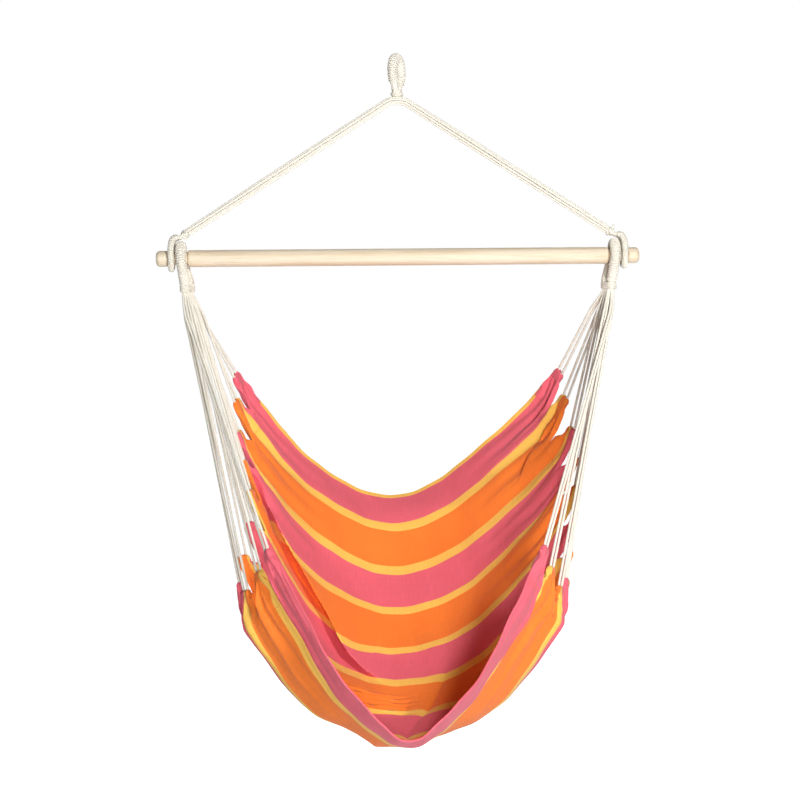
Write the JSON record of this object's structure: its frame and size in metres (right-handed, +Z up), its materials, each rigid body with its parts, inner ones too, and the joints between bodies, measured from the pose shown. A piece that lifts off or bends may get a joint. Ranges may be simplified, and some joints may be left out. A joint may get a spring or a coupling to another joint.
{
  "type": "hammock chair",
  "caption": "Hanging chair: a striped cotton seat held by fans of cord from a turned wooden spreader bar, which hangs from one whipped rope loop.",
  "frame": {"origin": "where the hook bears, at the inside top of the hanging loop", "axes": "+X along the spreader bar, +Y towards the back of the seat, +Z up"},
  "size_m": [1, 0.7164, 1.3869],
  "materials": {
    "bar_wood": "turned and sanded pale wood under a thin clear finish",
    "cotton_cord": "undyed cotton cord",
    "whipping_cord": "undyed cotton cord wound tight",
    "striped_cloth": "plain woven cotton with pink, orange and yellow stripes"
  },
  "bodies": {
    "hanging_loop": {"hanging_loop_core": "cotton_cord", "hanging_loop_whipping": "whipping_cord"},
    "throat": {"throat_core": "cotton_cord", "throat_binding": "whipping_cord"},
    "suspension": {"suspension_strand_1": "cotton_cord", "suspension_strand_2": "cotton_cord", "suspension_strand_3": "cotton_cord", "suspension_strand_4": "cotton_cord", "suspension_strand_5": "cotton_cord", "suspension_strand_6": "cotton_cord", "suspension_strand_7": "cotton_cord", "suspension_strand_8": "cotton_cord", "left_leg_knot": "cotton_cord", "left_leg_eye_core": "cotton_cord", "left_leg_eye_whipping": "whipping_cord", "right_leg_knot": "cotton_cord", "right_leg_eye_core": "cotton_cord", "right_leg_eye_whipping": "whipping_cord"},
    "bar": {"spreader_bar": "bar_wood"},
    "seat": {"left_seat_eye_core": "cotton_cord", "left_seat_eye_whipping": "whipping_cord", "left_seat_eye_binding": "whipping_cord", "right_seat_eye_core": "cotton_cord", "right_seat_eye_whipping": "whipping_cord", "right_seat_eye_binding": "whipping_cord", "left_seat_cord_1": "cotton_cord", "left_seat_cord_2": "cotton_cord", "left_seat_cord_3": "cotton_cord", "left_seat_cord_4": "cotton_cord", "left_seat_cord_5": "cotton_cord", "left_seat_cord_6": "cotton_cord", "left_seat_cord_7": "cotton_cord", "left_seat_cord_8": "cotton_cord", "left_seat_cord_9": "cotton_cord", "left_seat_cord_10": "cotton_cord", "left_seat_cord_11": "cotton_cord", "right_seat_cord_1": "cotton_cord", "right_seat_cord_2": "cotton_cord", "right_seat_cord_3": "cotton_cord", "right_seat_cord_4": "cotton_cord", "right_seat_cord_5": "cotton_cord", "right_seat_cord_6": "cotton_cord", "right_seat_cord_7": "cotton_cord", "right_seat_cord_8": "cotton_cord", "right_seat_cord_9": "cotton_cord", "right_seat_cord_10": "cotton_cord", "right_seat_cord_11": "cotton_cord", "seat_cloth": "striped_cloth"}
  },
  "joints": [
    {"name": "twist", "type": "hinge", "parent": "hanging_loop", "child": "throat", "pos_m": [0, 0, -0.0577], "axis": [0, 0, 1], "range_deg": [-60, 60], "stiffness_Nm_per_rad": 0.3},
    {"name": "swing", "type": "hinge", "parent": "throat", "child": "suspension", "pos_m": [0, 0, -0.07695], "axis": [1, 0, 0], "range_deg": [-30, 30]},
    {"name": "bar_roll", "type": "hinge", "parent": "suspension", "child": "bar", "pos_m": [0, 0, -0.4], "axis": [1, 0, 0], "continuous": true},
    {"name": "seat_swing", "type": "hinge", "parent": "suspension", "child": "seat", "pos_m": [0, 0, -0.4], "axis": [1, 0, 0], "range_deg": [-30, 30]}
  ]
}
